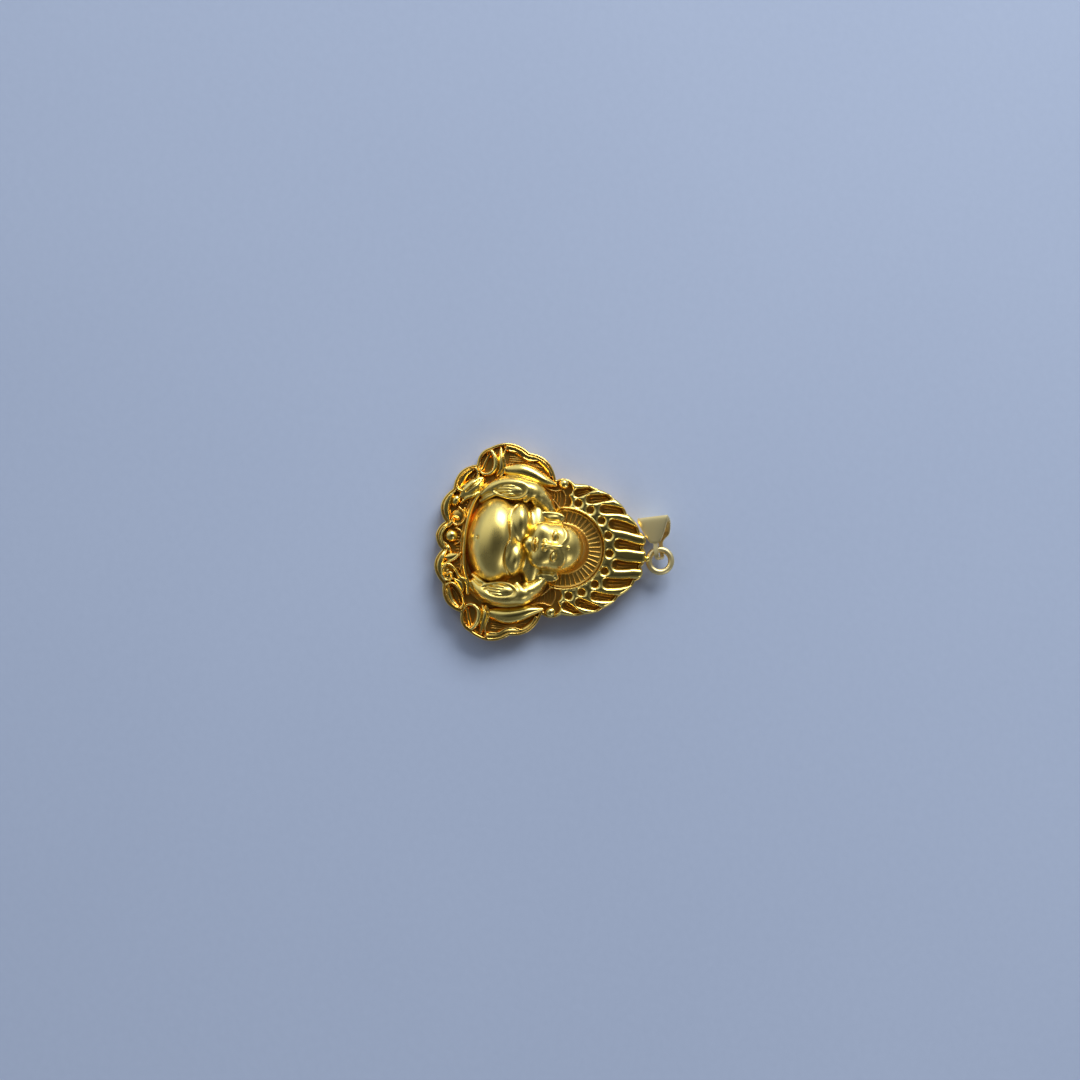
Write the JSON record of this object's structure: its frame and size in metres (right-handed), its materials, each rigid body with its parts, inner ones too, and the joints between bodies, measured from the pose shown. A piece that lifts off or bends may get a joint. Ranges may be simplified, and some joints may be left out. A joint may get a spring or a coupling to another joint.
{
  "type": "relief pendant with bail",
  "caption": "Gold relief pendant of a seated round-bellied figure before a rayed halo and flame crest, over a scrolled border, hung from a soldered ring and a folded bail.",
  "frame": {"origin": "under the middle of the whole object, on the surface that the flat back lies on", "axes": "+Z out of the face, +Y from the lotus border towards the ring, +X to the right seen from the front"},
  "size_m": [0.0288, 0.035, 0.0079],
  "materials": {
    "gold_polished": "polished",
    "gold_satin": "satin",
    "gold_recess": "matte, darkened",
    "gold_pale": "brushed satin"
  },
  "bodies": {
    "pendant": {"side_wall": "gold_polished", "flame_crest": "gold_polished", "ring_saddle": "gold_polished", "centre_petal": "gold_polished", "pearl": "gold_polished", "left_ribbon": "gold_polished", "left_strap": "gold_polished", "left_loop": "gold_polished", "left_side_petal": "gold_polished", "left_low_petal": "gold_polished", "left_curl": "gold_polished", "left_bud": "gold_polished", "right_ribbon": "gold_polished", "right_strap": "gold_polished", "right_loop": "gold_polished", "right_side_petal": "gold_polished", "right_low_petal": "gold_polished", "right_curl": "gold_polished", "right_bud": "gold_polished", "back_plate": "gold_satin", "torso": "gold_satin", "head": "gold_satin", "left_arm": "gold_satin", "right_arm": "gold_satin", "robe_hem": "gold_satin", "field_plate": "gold_recess", "halo_plate": "gold_recess", "top_ring": "gold_pale"},
    "bail": {"bail": "gold_pale"}
  },
  "joints": [
    {"name": "bail_swing", "type": "hinge", "parent": "pendant", "child": "bail", "pos_m": [-0.00141, 0.01508, 0.0023], "axis": [-0.208, 0.9781, 0], "range_deg": [-20, 100]}
  ]
}
